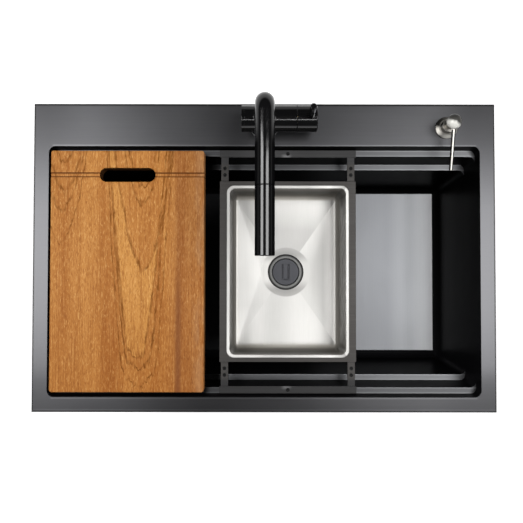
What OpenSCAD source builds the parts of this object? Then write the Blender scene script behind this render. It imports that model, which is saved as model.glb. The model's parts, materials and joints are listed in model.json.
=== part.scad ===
// Workstation kitchen sink: a stepped steel bowl under a flat deck, with a pull-out tap, a soap
// pump, a chopping board and a small basin on a sliding frame. All sizes are in millimetres.
// X runs to the right, Y to the back where the tap stands, and Z up. The origin is in the middle
// of the sink on the worktop that its deck rests on.

/* [Sink] */
// Width of the deck from left to right
sink_w = 750; // [700:5:950]
// Depth of the deck from front to back
sink_d = 500; // [490:5:640]
// Thickness of the deck plate
deck_t = 3; // [2:0.5:4]
// Bevel round the top of the deck plate and of its opening
deck_bevel = 0.8; // [0.4:0.1:1.2]
// Width of the deck beside and in front of the bowl
rail_w = 25; // [24:1:40]
// Width of the deck behind the bowl, where the tap stands
back_w = 70; // [70:1:110]
// Depth of the bowl below the top of the deck
bowl_depth = 220; // [200:5:280]
// Thickness of the bowl's sheet
sheet_t = 1.2; // [0.8:0.1:1.5]
// Radius of the bowl's upright corners
corner_r = 10; // [8:1:14]
// Radius between the bowl's walls and its floor
foot_r = 12; // [8:1:16]
// Slope of the front and back walls from upright, in degrees
long_slope = 4.6; // [2:0.1:5]
// Slope of the left and right walls from upright, in degrees
end_slope = 3.1; // [1:0.1:4]
// Width of the bowl's flange under the deck
flange_w = 6; // [4:1:7]

/* [Ledges] */
// Depth of the upper ledge below the top of the deck
upper_depth = 22; // [18:1:28]
// Depth of the lower ledge below the top of the deck
lower_depth = 73; // [60:1:90]
// Width of each ledge
ledge_w = 10.3; // [9:0.1:14]

/* [Fixing and pads] */
// Distance from the deck's edge to the fixing studs
stud_inset = 14.5; // [14:0.5:16]
// Length of a fixing stud
stud_l = 46; // [40:1:60]
// Diameter of a fixing stud
stud_d = 5; // [4:1:6]
// Thickness of the rubber pads that quieten the bowl
pad_t = 3; // [2:0.5:5]

/* [Bowl waste] */
// Diameter of the waste's flange in the floor
waste_d = 114; // [110:1:118]
// Diameter of the hole in the floor
waste_hole_d = 90; // [88:1:92]
// Outer diameter of the strainer body
cup_d = 87; // [84:1:88]
// Depth of the strainer body
cup_depth = 50; // [40:1:60]
// Depth that the floor is pressed down under the flange
waste_step = 3.5; // [2.5:0.5:5]
// Thickness of the waste's metal
waste_wall = 1.5; // [1:0.1:2]
// Outer diameter of the threaded outlet
outlet_d = 38; // [36:1:40]
// Length of the threaded outlet
outlet_l = 28; // [24:1:40]
// Outer diameter of the tailpiece
tail_d = 32; // [30:0.5:33]
// Length of the tailpiece below the outlet
tail_l = 45; // [40:1:80]

/* [Tap] */
// Distance from the tap's axis to the back edge of the deck
tap_inset = 35; // [33:1:40]
// Height of the spout's axis above the deck
spout_h = 160; // [140:5:260]
// Distance from the tap's axis to the nose of the spray head
spout_reach = 218; // [190:2:280]
// Length of the spray head
head_l = 97.5; // [80:0.5:120]
// Diameter of the spout and of the spray head
tube_d = 28; // [26:0.5:34]
// Wall of the spout
tube_wall = 2; // [1.5:0.5:2.5]
// Height of the crossbar's axis above the deck
bar_h = 45; // [40:1:60]
// Diameter of the crossbar
bar_d = 41; // [38:1:50]
// Distance from the tap's axis to the left end of the crossbar
bar_left = 35.5; // [34:0.5:45]
// Distance from the tap's axis to the groove before the handle
bar_right = 50; // [50:0.1:60]
// Width of the groove between the crossbar and the handle
handle_gap = 1.2; // [0.6:0.1:2]
// Length of the handle's drum
drum_l = 31; // [28:0.2:40]
// Diameter of the lever
lever_d = 10; // [8:0.5:12]
// Height of the lever's top above the deck
lever_h = 122; // [100:1:130]
// Diameter of the threaded shank through the deck
shank_d = 31; // [28:1:35]
// Width of the base ring on the deck, round the shank
base_rim = 9; // [8:0.5:12]
// Thickness of the column's wall, round the shank
column_wall = 2.5; // [2:0.5:5]
// Length of the shank below the worktop line
shank_l = 45; // [40:1:60]

/* [Soap pump] */
// Distance from the pump's axis to the right edge of the deck
pump_side = 79; // [60:1:120]
// Distance from the pump's axis to the back edge of the deck
pump_inset = 39; // [38:1:45]
// Width of the pump's base ring, round its threaded collar
pump_base_rim = 5.5; // [5:0.5:9]
// Diameter of the ball that is pressed
ball_d = 23.5; // [20:0.5:25]
// Height of the ball's centre above the deck
ball_h = 47; // [47:1:70]
// Reach of the pump's spout from its axis
nozzle_reach = 73; // [50:1:90]
// Diameter of the pump's spout
nozzle_d = 6; // [5:0.5:8]
// Slope of the pump's spout below level, in degrees
nozzle_drop = 16; // [0:1:20]
// Diameter of the threaded collar through the deck
pump_collar_d = 24; // [22:1:26]
// Diameter of the soap bottle
bottle_d = 54; // [46:1:56]
// Length of the soap bottle with its neck
bottle_l = 125; // [100:5:180]

/* [Sliding tray] */
// Position of the tray's middle, to the right of the sink's middle
tray_x = 39; // [-40:1:60]
// Width of the tray from left to right
tray_w = 225; // [215:1:260]
// Thickness of the tray's flat bars
bar_t = 3; // [2:0.5:4]
// Width of the end bars that ride on the upper ledge
end_bar_w = 11.8; // [10:0.1:14]
// Width of the four arms
arm_w = 12; // [10:0.5:16]
// How far the arms stand in from the tray's sides
arm_inset = 2.5; // [0:0.5:6]
// Thickness of the glide strips
glide_t = 1; // [0.6:0.1:1.5]
// Width of the ring's front and back sides outside the basin's opening
ring_end_w = 10.4; // [8:0.2:16]
// Diameter of the tray's screws
screw_d = 3; // [2.5:0.5:4]

/* [Basin] */
// Width of the basin over its rim
basin_w = 202.4; // [190:0.2:205]
// Length of the basin over its rim
basin_l = 284.8; // [240:0.2:290]
// Width of the basin's rim
basin_rim = 5.1; // [4.5:0.1:6]
// Depth of the basin below its rim
basin_depth = 95; // [80:1:105]
// Thickness of the basin's sheet
basin_t = 0.8; // [0.6:0.1:1]
// Thickness of the basin's rim
rim_t = 1.5; // [1:0.1:2]
// Slope of the basin's walls from upright, in degrees
basin_slope = 1.2; // [0.5:0.1:2]
// Radius of the basin's upright corners
basin_corner_r = 9; // [8:1:16]
// Radius between the basin's walls and its floor
basin_foot_r = 8; // [6:1:10]
// Fall of the basin's floor to its waste
floor_fall = 3; // [1:0.5:4]
// Diameter of the round dish in the basin's floor
dish_d = 88; // [84:1:110]
// Depth of that dish
dish_step = 3; // [2:0.5:4]
// Diameter of the basin waste's flange
plug_ring_d = 64; // [60:1:70]
// Diameter of the plug
plug_d = 47.6; // [44:0.2:49]
// Width of the plug's folding pull
pull_w = 11.3; // [9:0.1:14]
// Length of the plug's folding pull
pull_l = 27; // [22:0.5:30]
// Diameter of the pull's wire
wire_d = 1.8; // [1.4:0.1:2.2]

/* [Chopping board] */
// Width of the board from left to right
board_w = 249; // [200:1:256]
// Thickness of the board
board_t = 25; // [20:1:32]
// Length of board that bears on each ledge
board_bearing = 4.6; // [3:0.1:8]
// Radius of the board's corners
board_r = 4; // [3:0.5:10]
// Gap between the board and the left end of the bowl's opening
board_gap = 3.6; // [1.5:0.1:4]
// Length of the finger slot
slot_l = 90.6; // [70:0.2:120]
// Width of the finger slot
slot_w = 22.5; // [18:0.5:28]
// Distance from the board's back edge to the middle of the slot
slot_inset = 39.4; // [30:0.2:60]
// Width of the groove across the board
groove_w = 6; // [3:0.5:8]
// Depth of the groove across the board
groove_depth = 2; // [1:0.5:3]
// Bevel on the board's edges
board_bevel = 1; // [0.5:0.5:2]

/* [Fits] */
// Radial clearance of a fit that turns or slides
run_gap = 0.06; // [0.02:0.01:0.1]
// Gap between pieces that lift out
lift_gap = 0.3; // [0.2:0.05:0.5]
// Radial clearance of a thread or a plain fixing hole
thread_gap = 0.2; // [0.1:0.05:0.4]

/* [Hidden] */
$fn = 72;
slice = 0.01;
over = 1;
hull_fn = 32;

bowl_hx = sink_w / 2 - rail_w;
bowl_hy = (sink_d - rail_w - back_w) / 2;
bowl_yc = (rail_w - back_w) / 2;
upper_z = deck_t - upper_depth;
lower_z = deck_t - lower_depth;
floor_z = deck_t - bowl_depth;

waste_z = floor_z - waste_step;
waste_rim_z = waste_z + waste_wall;
cup_floor_z = waste_rim_z - cup_depth;
outlet_z = cup_floor_z - waste_wall - outlet_l;
under_waste_z = waste_z - sheet_t;
waste_seal_t = 3;
waste_nut_h = 10;
tail_lip_z = outlet_z - waste_wall;
tail_nut_top_z = outlet_z + 16;
tail_nut_foot_z = tail_lip_z - 4;
tail_neck_d = tail_d - 0.6;
knob_z = floor_z + 7;
knob_h = 3;

tap_y = sink_d / 2 - tap_inset;
bar_z = deck_t + bar_h;
spout_z = deck_t + spout_h;
tube_r = tube_d / 2;
bend_r = tube_r + 2;
seat_t = 1;
base_t = 5;
base_z = deck_t + seat_t + base_t;
base_d = shank_d + 2 * base_rim;
column_d = shank_d + 2 * column_wall;
shank_top_z = deck_t + 19;
shank_bore_d = shank_d - 7;
shank_seal_t = 3;
shank_washer_t = 1.5;
shank_nut_d = shank_d + 19;
shank_nut_h = 10;
socket_z = bar_z + 6;
collar_z = bar_z + bar_d / 2 + 2;
collar_t = 4;
riser_z = collar_z + collar_t;
spigot_d = tube_d - 5;
spigot_bore_d = spigot_d - 5;
bush_wall = 2;
ring_wire_d = 1.2;
cartridge_d = bar_d - 5;
cartridge_x = 21;
cap_t = 4;
cap_plug_l = 6;
cap_bore_d = bar_d - 10;
cartridge_nut_l = 5;
stem_d = 9;
stem_x = 40;
stem_end_x = bar_right + handle_gap + 11.6;
drum_x = bar_right + handle_gap;
lever_x = drum_x + drum_l - 11;
lever_seat_z = bar_z + bar_d / 2 - 1.2;
lever_thread_d = lever_d - 2;
lever_foot_z = bar_z + 8;
grub_d = 5;
grub_l = 8;
grub_x = drum_x + 6;
seam_y = tap_y - spout_reach + head_l;
nose_y = tap_y - spout_reach;
seam_gap = 0.5;
dock_l = 20;
dock_d = tube_d - 2 * tube_wall;
dock_bore_d = dock_d - 4;
head_spigot_d = dock_bore_d - 2 * lift_gap;
outlet_y = nose_y + 18;
outlet_boss_d = tube_d - 3;
aerator_d = outlet_boss_d - 4;

pump_x = sink_w / 2 - pump_side;
pump_y = sink_d / 2 - pump_inset;
ball_z = deck_t + ball_h;
neck_top_z = deck_t + 22;
sleeve_d = 14;
pump_stem_d = 7.2;
pump_barrel_d = 17;
pump_barrel_l = 58;
pump_rim = 3;
pump_lip_z = deck_t + 2;
pump_lip_t = 1.5;
pump_wall = 1.2;
pump_foot_z = pump_lip_z - pump_barrel_l;
pump_nut_h = 8;
pump_collar_z = -32;
piston_z = pump_lip_z - 26;
piston_h = 4;
pump_stroke = 12;
spring_top_z = piston_z - pump_stroke - 0.2;
stem_top_z = ball_z - 8;
nozzle_root = ball_d / 2 - 6;
bottle_top_z = -12;
bottle_wall = 1.5;

glide_z = upper_z + glide_t;
tray_z = glide_z;
tray_top_z = glide_z + bar_t;
ring_z = glide_z - bar_t;
wall_gap = 0.8;
end_bar_y = long_y(upper_z, 0) - wall_gap;
end_bar_inner_y = end_bar_y - end_bar_w;
basin_hx = basin_w / 2 - basin_rim;
basin_hy = basin_l / 2 - basin_rim;
basin_floor_z = glide_z - basin_depth;
ring_gap = 0.7;
ring_hole_w = 2 * (basin_hx + basin_t + ring_gap);
ring_hole_l = 2 * (basin_hy + basin_t + ring_gap);
ring_l = ring_hole_l + 2 * ring_end_w;
tab_l = 27;
arm_x = tray_w / 2 - arm_inset - arm_w / 2;
arm_l = end_bar_inner_y - ring_l / 2;
screw_sink = 0.2;
head_z = tray_top_z - screw_sink - screw_d / 2;
dish_z = basin_floor_z - floor_fall - dish_step;
drain_hole_d = plug_d + 5;
plug_z = dish_z - 0.8;
plug_seat_z = plug_z - 4;
drain_nut_z = dish_z - basin_t - 2.2;
drain_nut_h = 8;
drain_pipe_d = 40;
drain_foot_z = dish_z - 22;
pull_pivot_y = bowl_yc + pull_l / 2 - 1;
pull_z = plug_z + 1.2 - wire_d / 2;

board_x = -bowl_hx + board_gap + board_w / 2;
board_l = 2 * (long_y(upper_z, 1) + board_bearing);
board_top_z = upper_z + board_t;
slot_y = bowl_yc + board_l / 2 - slot_inset;

// Half the bowl's width, and half its length below a number of ledges, at height z
function end_x(z) = bowl_hx + z * tan(end_slope);
function long_y(z, ledges) = bowl_hy + z * tan(long_slope) - ledges * ledge_w;

module round_rect(w, l, r) {
    square([w - 2 * r, l], center = true);
    square([w, l - 2 * r], center = true);
    for (sx = [-1, 1], sy = [-1, 1])
        translate([sx * (w / 2 - r), sy * (l / 2 - r)])
            circle(r);
}

// A thin rounded outline whose top is at height z, as an end for a hull
module outline(half, r, z) {
    translate([0, bowl_yc, z - slice])
        linear_extrude(slice)
            round_rect(2 * half[0], 2 * half[1], r, $fn = hull_fn);
}

// A sloping pan from its top down to a rounded foot; grow makes the outside of a sheet
module pan(top, low, r, foot, grow, sump = [0, 0]) {
    hull() {
        outline([top[0] + grow, top[1] + grow], r + grow, top[2]);
        for (turn = [0:18:90]) {
            inset = (foot + grow) * (1 - cos(turn));
            rise = (foot + grow) * (1 - sin(turn));
            outline([low[0] + grow - inset, low[1] + grow - inset],
                max(r + grow - inset, 2), low[2] - grow + rise + slice);
        }
        if (sump[0] > 0)
            translate([0, bowl_yc, low[2] - grow - sump[1]])
                cylinder(d = sump[0], h = slice, $fn = hull_fn);
    }
}

// A straight-sided step of the bowl between two heights
module step(high_z, low_z, ledges, grow) {
    hull() {
        outline([end_x(high_z) + grow, long_y(high_z, ledges) + grow], corner_r + grow, high_z);
        outline([end_x(low_z) + grow, long_y(low_z, ledges) + grow], corner_r + grow,
            low_z - grow + slice);
    }
}

module tube(outer_d, inner_d, z0, z1) {
    translate([0, 0, z0])
        difference() {
            cylinder(d = outer_d, h = z1 - z0);
            translate([0, 0, -over])
                cylinder(d = inner_d, h = z1 - z0 + 2 * over);
        }
}

module disc(d, z0, z1) {
    translate([0, 0, z0])
        cylinder(d = d, h = z1 - z0);
}

module at_waste() { translate([0, bowl_yc, 0]) children(); }
module at_tap() { translate([0, tap_y, 0]) children(); }
module at_pump() { translate([pump_x, pump_y, 0]) children(); }
module at_tray() { translate([tray_x, bowl_yc, 0]) children(); }
// Turns a piece drawn upright so that it lies along the crossbar, from its left to its right
module along_bar() { translate([0, tap_y, bar_z]) rotate([0, 90, 0]) children(); }
// Turns a piece drawn upright so that it points to the front along the spout
module along_spout(y) { translate([0, y, spout_z]) rotate([90, 0, 0]) children(); }

// ---- Deck and bowl ----

module deck_opening() {
    hull() {
        outline([bowl_hx, bowl_hy], corner_r, -over);
        outline([bowl_hx, bowl_hy], corner_r, deck_t - deck_bevel);
    }
    hull() {
        outline([bowl_hx, bowl_hy], corner_r, deck_t - deck_bevel);
        outline([bowl_hx + deck_bevel, bowl_hy + deck_bevel], corner_r + deck_bevel,
            deck_t + slice);
    }
}

module deck_plate() {
    low_t = deck_t - deck_bevel;
    color("dimgray")
        difference() {
            hull() {
                translate([-sink_w / 2, -sink_d / 2, 0])
                    cube([sink_w, sink_d, low_t]);
                translate([-sink_w / 2 + deck_bevel, -sink_d / 2 + deck_bevel, low_t])
                    cube([sink_w - 2 * deck_bevel, sink_d - 2 * deck_bevel, deck_bevel]);
            }
            deck_opening();
            at_tap()
                disc(shank_d + 4, -over, deck_t + over);
            at_pump()
                disc(pump_collar_d + 1, -over, deck_t + over);
        }
}

module bowl_shell() {
    flange_x = bowl_hx + flange_w;
    flange_y = bowl_hy + flange_w;
    base = [end_x(floor_z), long_y(floor_z, 2), floor_z];
    neck = [end_x(lower_z), long_y(lower_z, 2), lower_z];
    color("dimgray")
        difference() {
            union() {
                translate([0, bowl_yc, -sheet_t])
                    linear_extrude(sheet_t)
                        round_rect(2 * flange_x, 2 * flange_y, corner_r);
                step(0, upper_z, 0, sheet_t);
                step(upper_z, lower_z, 1, sheet_t);
                pan(neck, base, corner_r, foot_r, sheet_t);
                at_waste()
                    disc(waste_d + 8, under_waste_z, floor_z);
            }
            step(over, upper_z, 0, 0);
            step(upper_z, lower_z, 1, 0);
            pan(neck, base, corner_r, foot_r, 0);
            at_waste()
                disc(waste_d + 4, waste_z, floor_z + over);
            at_waste()
                disc(waste_hole_d, under_waste_z - over, floor_z);
        }
}

// Pads glued under the floor and on the lower walls, a hair off the sheet as the glue lies
module sound_pads() {
    glue = 0.05;
    floor_pad = [0.3 * bowl_hx, bowl_hy];
    mid_z = (lower_z + floor_z) / 2;
    wall_pad_h = 80;
    color("gray") {
        for (side = [-1, 1])
            translate([side * 0.55 * bowl_hx - floor_pad[0] / 2, bowl_yc - floor_pad[1] / 2,
                floor_z - sheet_t - glue - pad_t])
                cube([floor_pad[0], floor_pad[1], pad_t]);
        for (side = [-1, 1])
            translate([side * (end_x(mid_z) + sheet_t + glue), bowl_yc, mid_z])
                rotate([0, side * end_slope, 0])
                    translate([side * pad_t / 2, 0, 0])
                        cube([pad_t, 0.8 * bowl_hy, wall_pad_h], center = true);
        for (side = [-1, 1])
            translate([0, bowl_yc + side * (long_y(mid_z, 2) + sheet_t + glue), mid_z])
                rotate([-side * long_slope, 0, 0])
                    translate([0, side * pad_t / 2, 0])
                        cube([1.1 * bowl_hx, pad_t, wall_pad_h], center = true);
    }
}

// ---- Clips that pull the deck down on the worktop ----

// Two clips along each edge of the deck, as a place and the direction that its hook lies in
function clip_places() = [
    for (sx = [-1, 1]) [sx * 0.27 * sink_w, -sink_d / 2 + stud_inset, sx > 0 ? 180 : 0],
    for (sx = [-1, 1]) [sx * 0.27 * sink_w, sink_d / 2 - stud_inset, sx > 0 ? 180 : 0],
    for (sx = [-1, 1], sy = [-1, 1])
        [sx * (sink_w / 2 - stud_inset), bowl_yc + sy * 0.6 * bowl_hy, sy > 0 ? 270 : 90]
];

module at_clips() {
    for (place = clip_places())
        translate([place[0], place[1], 0])
            rotate([0, 0, place[2]])
                children();
}

hook_w = 9;
hook_l = 40;
hook_t = 2.5;
hook_tooth = 8;
wing_nut_h = 6;
hook_z = -stud_l + 2 + wing_nut_h;

module clip_studs() {
    color("silver")
        at_clips() {
            disc(hook_w, -1, 0);
            disc(stud_d, -stud_l, -1);
        }
}

module clip_hooks() {
    color("silver")
        at_clips()
            difference() {
                union() {
                    translate([-hook_w / 2, -hook_w / 2, hook_z])
                        cube([hook_l, hook_w, hook_t]);
                    translate([hook_l - hook_w / 2 - hook_t, -hook_w / 2, hook_z])
                        cube([hook_t, hook_w, hook_tooth]);
                }
                disc(stud_d + 2 * thread_gap, hook_z - over, hook_z + hook_t + over);
            }
}

module clip_nuts() {
    color("silver")
        at_clips()
            difference() {
                union() {
                    disc(hook_w, hook_z - wing_nut_h, hook_z);
                    translate([-hook_w, -1, hook_z - wing_nut_h])
                        cube([2 * hook_w, 2, wing_nut_h]);
                }
                disc(stud_d + 2 * thread_gap, hook_z - wing_nut_h - over, hook_z + over);
            }
}

// ---- Waste of the bowl ----

module drain_body() {
    r_cup = cup_d / 2;
    r_out = outlet_d / 2;
    color("silver")
        at_waste()
            rotate_extrude()
                polygon([
                    [r_cup - waste_wall, waste_rim_z],
                    [waste_d / 2, waste_rim_z],
                    [waste_d / 2, waste_z],
                    [r_cup, waste_z],
                    [r_cup, cup_floor_z - waste_wall],
                    [r_out, cup_floor_z - waste_wall],
                    [r_out, outlet_z],
                    [r_out - waste_wall, outlet_z],
                    [r_out - waste_wall, cup_floor_z],
                    [r_cup - waste_wall, cup_floor_z]
                ]);
}

module drain_gasket() {
    color("black")
        at_waste()
            tube(waste_d - 2, cup_d + 1, under_waste_z - waste_seal_t, under_waste_z);
}

module drain_locknut() {
    top_z = under_waste_z - waste_seal_t;
    color("white")
        at_waste() {
            difference() {
                union() {
                    disc(cup_d + 24, top_z - waste_nut_h, top_z);
                    for (turn = [0:60:300])
                        rotate([0, 0, turn])
                            translate([cup_d / 2 + 6, -4, top_z - waste_nut_h])
                                cube([10, 8, waste_nut_h]);
                }
                disc(cup_d + 2 * thread_gap, top_z - waste_nut_h - over, top_z + over);
            }
        }
}

module tail_nut() {
    color("white")
        at_waste()
            difference() {
                union() {
                    disc(outlet_d + 10, tail_nut_foot_z, tail_nut_top_z);
                    for (turn = [0:45:315])
                        rotate([0, 0, turn])
                            translate([outlet_d / 2 + 4, -1.5, tail_nut_foot_z])
                                cube([2.5, 3, tail_nut_top_z - tail_nut_foot_z]);
                }
                disc(outlet_d + 2 * thread_gap, tail_lip_z, tail_nut_top_z + over);
                disc(tail_d + 2 * thread_gap, tail_nut_foot_z - over, tail_lip_z + over);
            }
}

// A tube with a collar that its nut holds up, and a narrower neck where it passes through the nut
module tailpiece() {
    foot_z = outlet_z - tail_l;
    color("silver")
        at_waste()
            difference() {
                union() {
                    disc(outlet_d - 0.4, tail_lip_z, outlet_z);
                    disc(tail_neck_d, foot_z, outlet_z);
                    disc(tail_d, foot_z, tail_nut_foot_z - 0.5);
                }
                disc(tail_d - 2 * waste_wall, foot_z - over, outlet_z + over);
            }
}

basket_d = cup_d - 2 * waste_wall - 4;
basket_floor_z = waste_rim_z - 33;
basket_wall = 1;
post_d = 6;
post_seal_t = 3;

module basket_cup() {
    rim_z = waste_rim_z + lift_gap;
    color("silver")
        at_waste()
            difference() {
                union() {
                    disc(basket_d, basket_floor_z, rim_z + 1);
                    disc(basket_d + 12, rim_z, rim_z + 1);
                }
                disc(basket_d - 2 * basket_wall, basket_floor_z + basket_wall, rim_z + 2);
                disc(post_d + 2 * run_gap, basket_floor_z - over, basket_floor_z + 2);
                for (turn = [0:30:330])
                    rotate([0, 0, turn]) {
                        translate([basket_d / 2 - 8, 0, 0])
                            disc(5, basket_floor_z - over, basket_floor_z + 2);
                        translate([basket_d / 2 - 18, 0, 0])
                            disc(4, basket_floor_z - over, basket_floor_z + 2);
                        translate([basket_d / 2 - 3, -2, basket_floor_z + 6])
                            cube([6, 4, 18]);
                    }
            }
}

module basket_post() {
    color("silver")
        at_waste() {
            disc(post_d, cup_floor_z + lift_gap + post_seal_t, knob_z);
            translate([0, 0, knob_z])
                cylinder(d1 = 20, d2 = 17, h = knob_h);
        }
}

module basket_seal() {
    color("black")
        at_waste()
            disc(outlet_d + 4, cup_floor_z + lift_gap, cup_floor_z + lift_gap + post_seal_t);
}

// ---- Tap ----

module tap_gasket() {
    color("black")
        at_tap()
            tube(base_d - 2, shank_d + 2 * thread_gap, deck_t, deck_t + seat_t);
}

module tap_flange() {
    r_out = base_d / 2;
    r_in = shank_d / 2 + thread_gap;
    low_z = deck_t + seat_t;
    color("black")
        at_tap()
            rotate_extrude()
                polygon([
                    [r_in, low_z],
                    [r_out, low_z],
                    [r_out, base_z - 1],
                    [r_out - 1, base_z],
                    [r_in, base_z]
                ]);
}

nipple_d = 6;
nipple_bore_d = 3.5;
nipple_l = 14;
nipple_thread = 6;
nipple_collar = 2;
nipple_collar_d = nipple_d + 1.2;
hose_d = 11;
nipple_turns = [-162, -18, -90];

// The nipples stand round the inside of the shank, a little off its bore
module at_nipples() {
    for (turn = nipple_turns)
        rotate([0, 0, turn])
            translate([(shank_bore_d - nipple_collar_d) / 2 - 0.4, 0, 0])
                children();
}

module tap_body() {
    boss_d = spigot_d + 2 * bush_wall + 7;
    color("black")
        difference() {
            union() {
                at_tap()
                    disc(column_d, base_z, bar_z);
                along_bar()
                    disc(bar_d, -bar_left + cap_t, bar_right);
                at_tap()
                    disc(boss_d, bar_z, collar_z);
            }
            at_tap()
                disc(shank_d, base_z - over, shank_top_z);
            at_tap()
                disc(spigot_d + 2 * bush_wall, socket_z, collar_z + over);
            at_tap()
                translate([0, 5, 0])
                    disc(hose_d, shank_top_z - over, socket_z + over);
            at_tap()
                at_nipples()
                    disc(nipple_d, shank_top_z - over, shank_top_z + nipple_thread);
            along_bar()
                disc(cartridge_d, cartridge_x, bar_right + over);
            along_bar()
                disc(cap_bore_d, -bar_left + cap_t - over, -bar_left + cap_t + cap_plug_l + 4);
        }
}

module tap_end_cap() {
    color("black")
        along_bar() {
            disc(bar_d, -bar_left, -bar_left + cap_t);
            disc(cap_bore_d - 0.1, -bar_left + cap_t, -bar_left + cap_t + cap_plug_l);
        }
}

module cartridge() {
    color("ivory")
        along_bar()
            difference() {
                disc(cartridge_d - 0.1, cartridge_x, bar_right - cartridge_nut_l);
                disc(stem_d + 2 * run_gap, stem_x - 1, bar_right);
            }
}

module cartridge_nut() {
    color("goldenrod")
        along_bar()
            tube(cartridge_d - 0.1, stem_d + 10, bar_right - cartridge_nut_l, bar_right - 0.4);
}

module cartridge_stem() {
    color("goldenrod")
        along_bar()
            disc(stem_d, stem_x, stem_end_x);
}

module handle_drum() {
    color("black")
        difference() {
            along_bar()
                rotate_extrude()
                    polygon([
                        [0, drum_x],
                        [bar_d / 2, drum_x],
                        [bar_d / 2, drum_x + drum_l - 1],
                        [bar_d / 2 - 1, drum_x + drum_l],
                        [0, drum_x + drum_l]
                    ]);
            along_bar()
                disc(stem_d, drum_x - over, stem_end_x);
            translate([lever_x, tap_y, 0]) {
                disc(lever_thread_d, lever_foot_z, bar_z + bar_d);
                disc(lever_d + 2 * thread_gap, lever_seat_z, bar_z + bar_d);
            }
            translate([grub_x, tap_y, 0])
                disc(grub_d, bar_z - bar_d, bar_z);
        }
}

module lever_pin() {
    top_z = deck_t + lever_h;
    r_lever = lever_d / 2;
    color("black")
        translate([lever_x, tap_y, 0])
            rotate_extrude()
                polygon([
                    [0, lever_foot_z],
                    [lever_thread_d / 2, lever_foot_z],
                    [lever_thread_d / 2, lever_seat_z],
                    [r_lever, lever_seat_z],
                    [r_lever, top_z - 1],
                    [r_lever - 1, top_z],
                    [0, top_z]
                ]);
}

module grub_screw() {
    foot_z = bar_z - stem_d / 2 - grub_l;
    color("silver")
        translate([grub_x, tap_y, 0])
            difference() {
                disc(grub_d, foot_z, foot_z + grub_l);
                translate([0, 0, foot_z - over])
                    cylinder(d = 2.9, h = 4, $fn = 6);
            }
}

module swivel_bush() {
    color("white")
        at_tap()
            tube(spigot_d + 2 * bush_wall, spigot_d + 2 * run_gap, socket_z, collar_z);
}

module swivel_collar() {
    color("black")
        at_tap()
            tube(spigot_d + 2 * bush_wall + 7, spigot_d + 2 * run_gap, collar_z,
                riser_z - 0.3);
}

// Each nipple screws up to its collar into the body, and a hose goes over its lower end
module inlet_nipples() {
    foot_z = shank_top_z - nipple_l;
    color("goldenrod")
        at_tap()
            at_nipples()
                difference() {
                    union() {
                        disc(nipple_d, foot_z, shank_top_z + nipple_thread);
                        disc(nipple_collar_d, shank_top_z - nipple_collar, shank_top_z);
                    }
                    disc(nipple_bore_d, foot_z - over, shank_top_z + nipple_thread + over);
                }
}

module tap_shank() {
    color("goldenrod")
        at_tap()
            tube(shank_d, shank_bore_d, -shank_l, shank_top_z);
}

module shank_seal() {
    color("black")
        at_tap()
            tube(shank_nut_d + 2, shank_d + 2 * thread_gap, -shank_seal_t, 0);
}

module shank_washer() {
    color("silver")
        at_tap()
            tube(shank_nut_d, shank_d + 2 * thread_gap, -shank_seal_t - shank_washer_t,
                -shank_seal_t);
}

module shank_nut() {
    top_z = -shank_seal_t - shank_washer_t;
    foot_z = top_z - shank_nut_h;
    color("goldenrod")
        at_tap()
            difference() {
                translate([0, 0, foot_z])
                    cylinder(d = shank_nut_d, h = shank_nut_h, $fn = 6);
                disc(shank_d + 2 * thread_gap, foot_z - over, top_z + over);
            }
}

ring_heights = [socket_z + 5, socket_z + 11];

// The outside of the bent tube, or its bore when d is smaller
module bent_tube(d, low_z) {
    at_tap()
        disc(d, low_z, spout_z - bend_r);
    translate([0, tap_y - bend_r, spout_z - bend_r])
        rotate([90, 0, 90])
            rotate_extrude(angle = 90)
                translate([bend_r, 0])
                    circle(d = d);
}

module spout_tube() {
    bore_d = tube_d - 2 * tube_wall;
    color("black")
        difference() {
            union() {
                bent_tube(tube_d, riser_z);
                along_spout(tap_y - bend_r)
                    disc(tube_d, 0, tap_y - bend_r - seam_y);
                at_tap()
                    disc(spigot_d, socket_z + 0.5, riser_z);
            }
            bent_tube(bore_d, riser_z + 2);
            along_spout(tap_y - bend_r)
                disc(bore_d, 0, tap_y - bend_r - seam_y + over);
            at_tap()
                disc(spigot_bore_d, socket_z - over, riser_z + 2);
            for (z = ring_heights)
                at_tap()
                    tube(spigot_d + 2, spigot_d - 2 * ring_wire_d, z - 0.8, z + 0.8);
        }
}

module head_socket() {
    color("white")
        along_spout(seam_y + dock_l)
            tube(dock_d, dock_bore_d, 0, dock_l);
}

module o_rings() {
    color("black")
        for (z = ring_heights)
            at_tap()
                translate([0, 0, z])
                    rotate_extrude()
                        translate([spigot_d / 2 - ring_wire_d / 2, 0])
                            circle(d = ring_wire_d - 0.1);
}

module spray_head() {
    color("black")
        difference() {
            union() {
                along_spout(seam_y - seam_gap)
                    disc(tube_d, 0, seam_y - seam_gap - nose_y);
                along_spout(seam_y + dock_l - 2)
                    disc(head_spigot_d, 0, dock_l);
                translate([0, outlet_y, 0])
                    disc(outlet_boss_d, spout_z - tube_r - 1, spout_z - tube_r + 8);
            }
            along_spout(seam_y - 4)
                disc(tube_d - 2 * tube_wall, 0, seam_y - 4 - nose_y - 4);
            along_spout(seam_y + dock_l)
                disc(head_spigot_d - 4, 0, dock_l + 8);
            translate([0, outlet_y, 0])
                disc(aerator_d, spout_z - tube_r - 1 - over, spout_z - 2);
        }
}

module aerator() {
    face_z = spout_z - tube_r - 1;
    color("silver")
        translate([0, outlet_y, 0])
            difference() {
                disc(aerator_d, face_z + 0.5, face_z + 9);
                disc(aerator_d - 4, face_z + 2.5, face_z + 9 + over);
                for (ring = [0:2])
                    for (turn = [0:360 / max(6 * ring, 1):359])
                        rotate([0, 0, turn])
                            translate([2.6 * ring, 0, 0])
                                disc(1.4, face_z - over, face_z + 4);
            }
}

// ---- Soap pump ----

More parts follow.
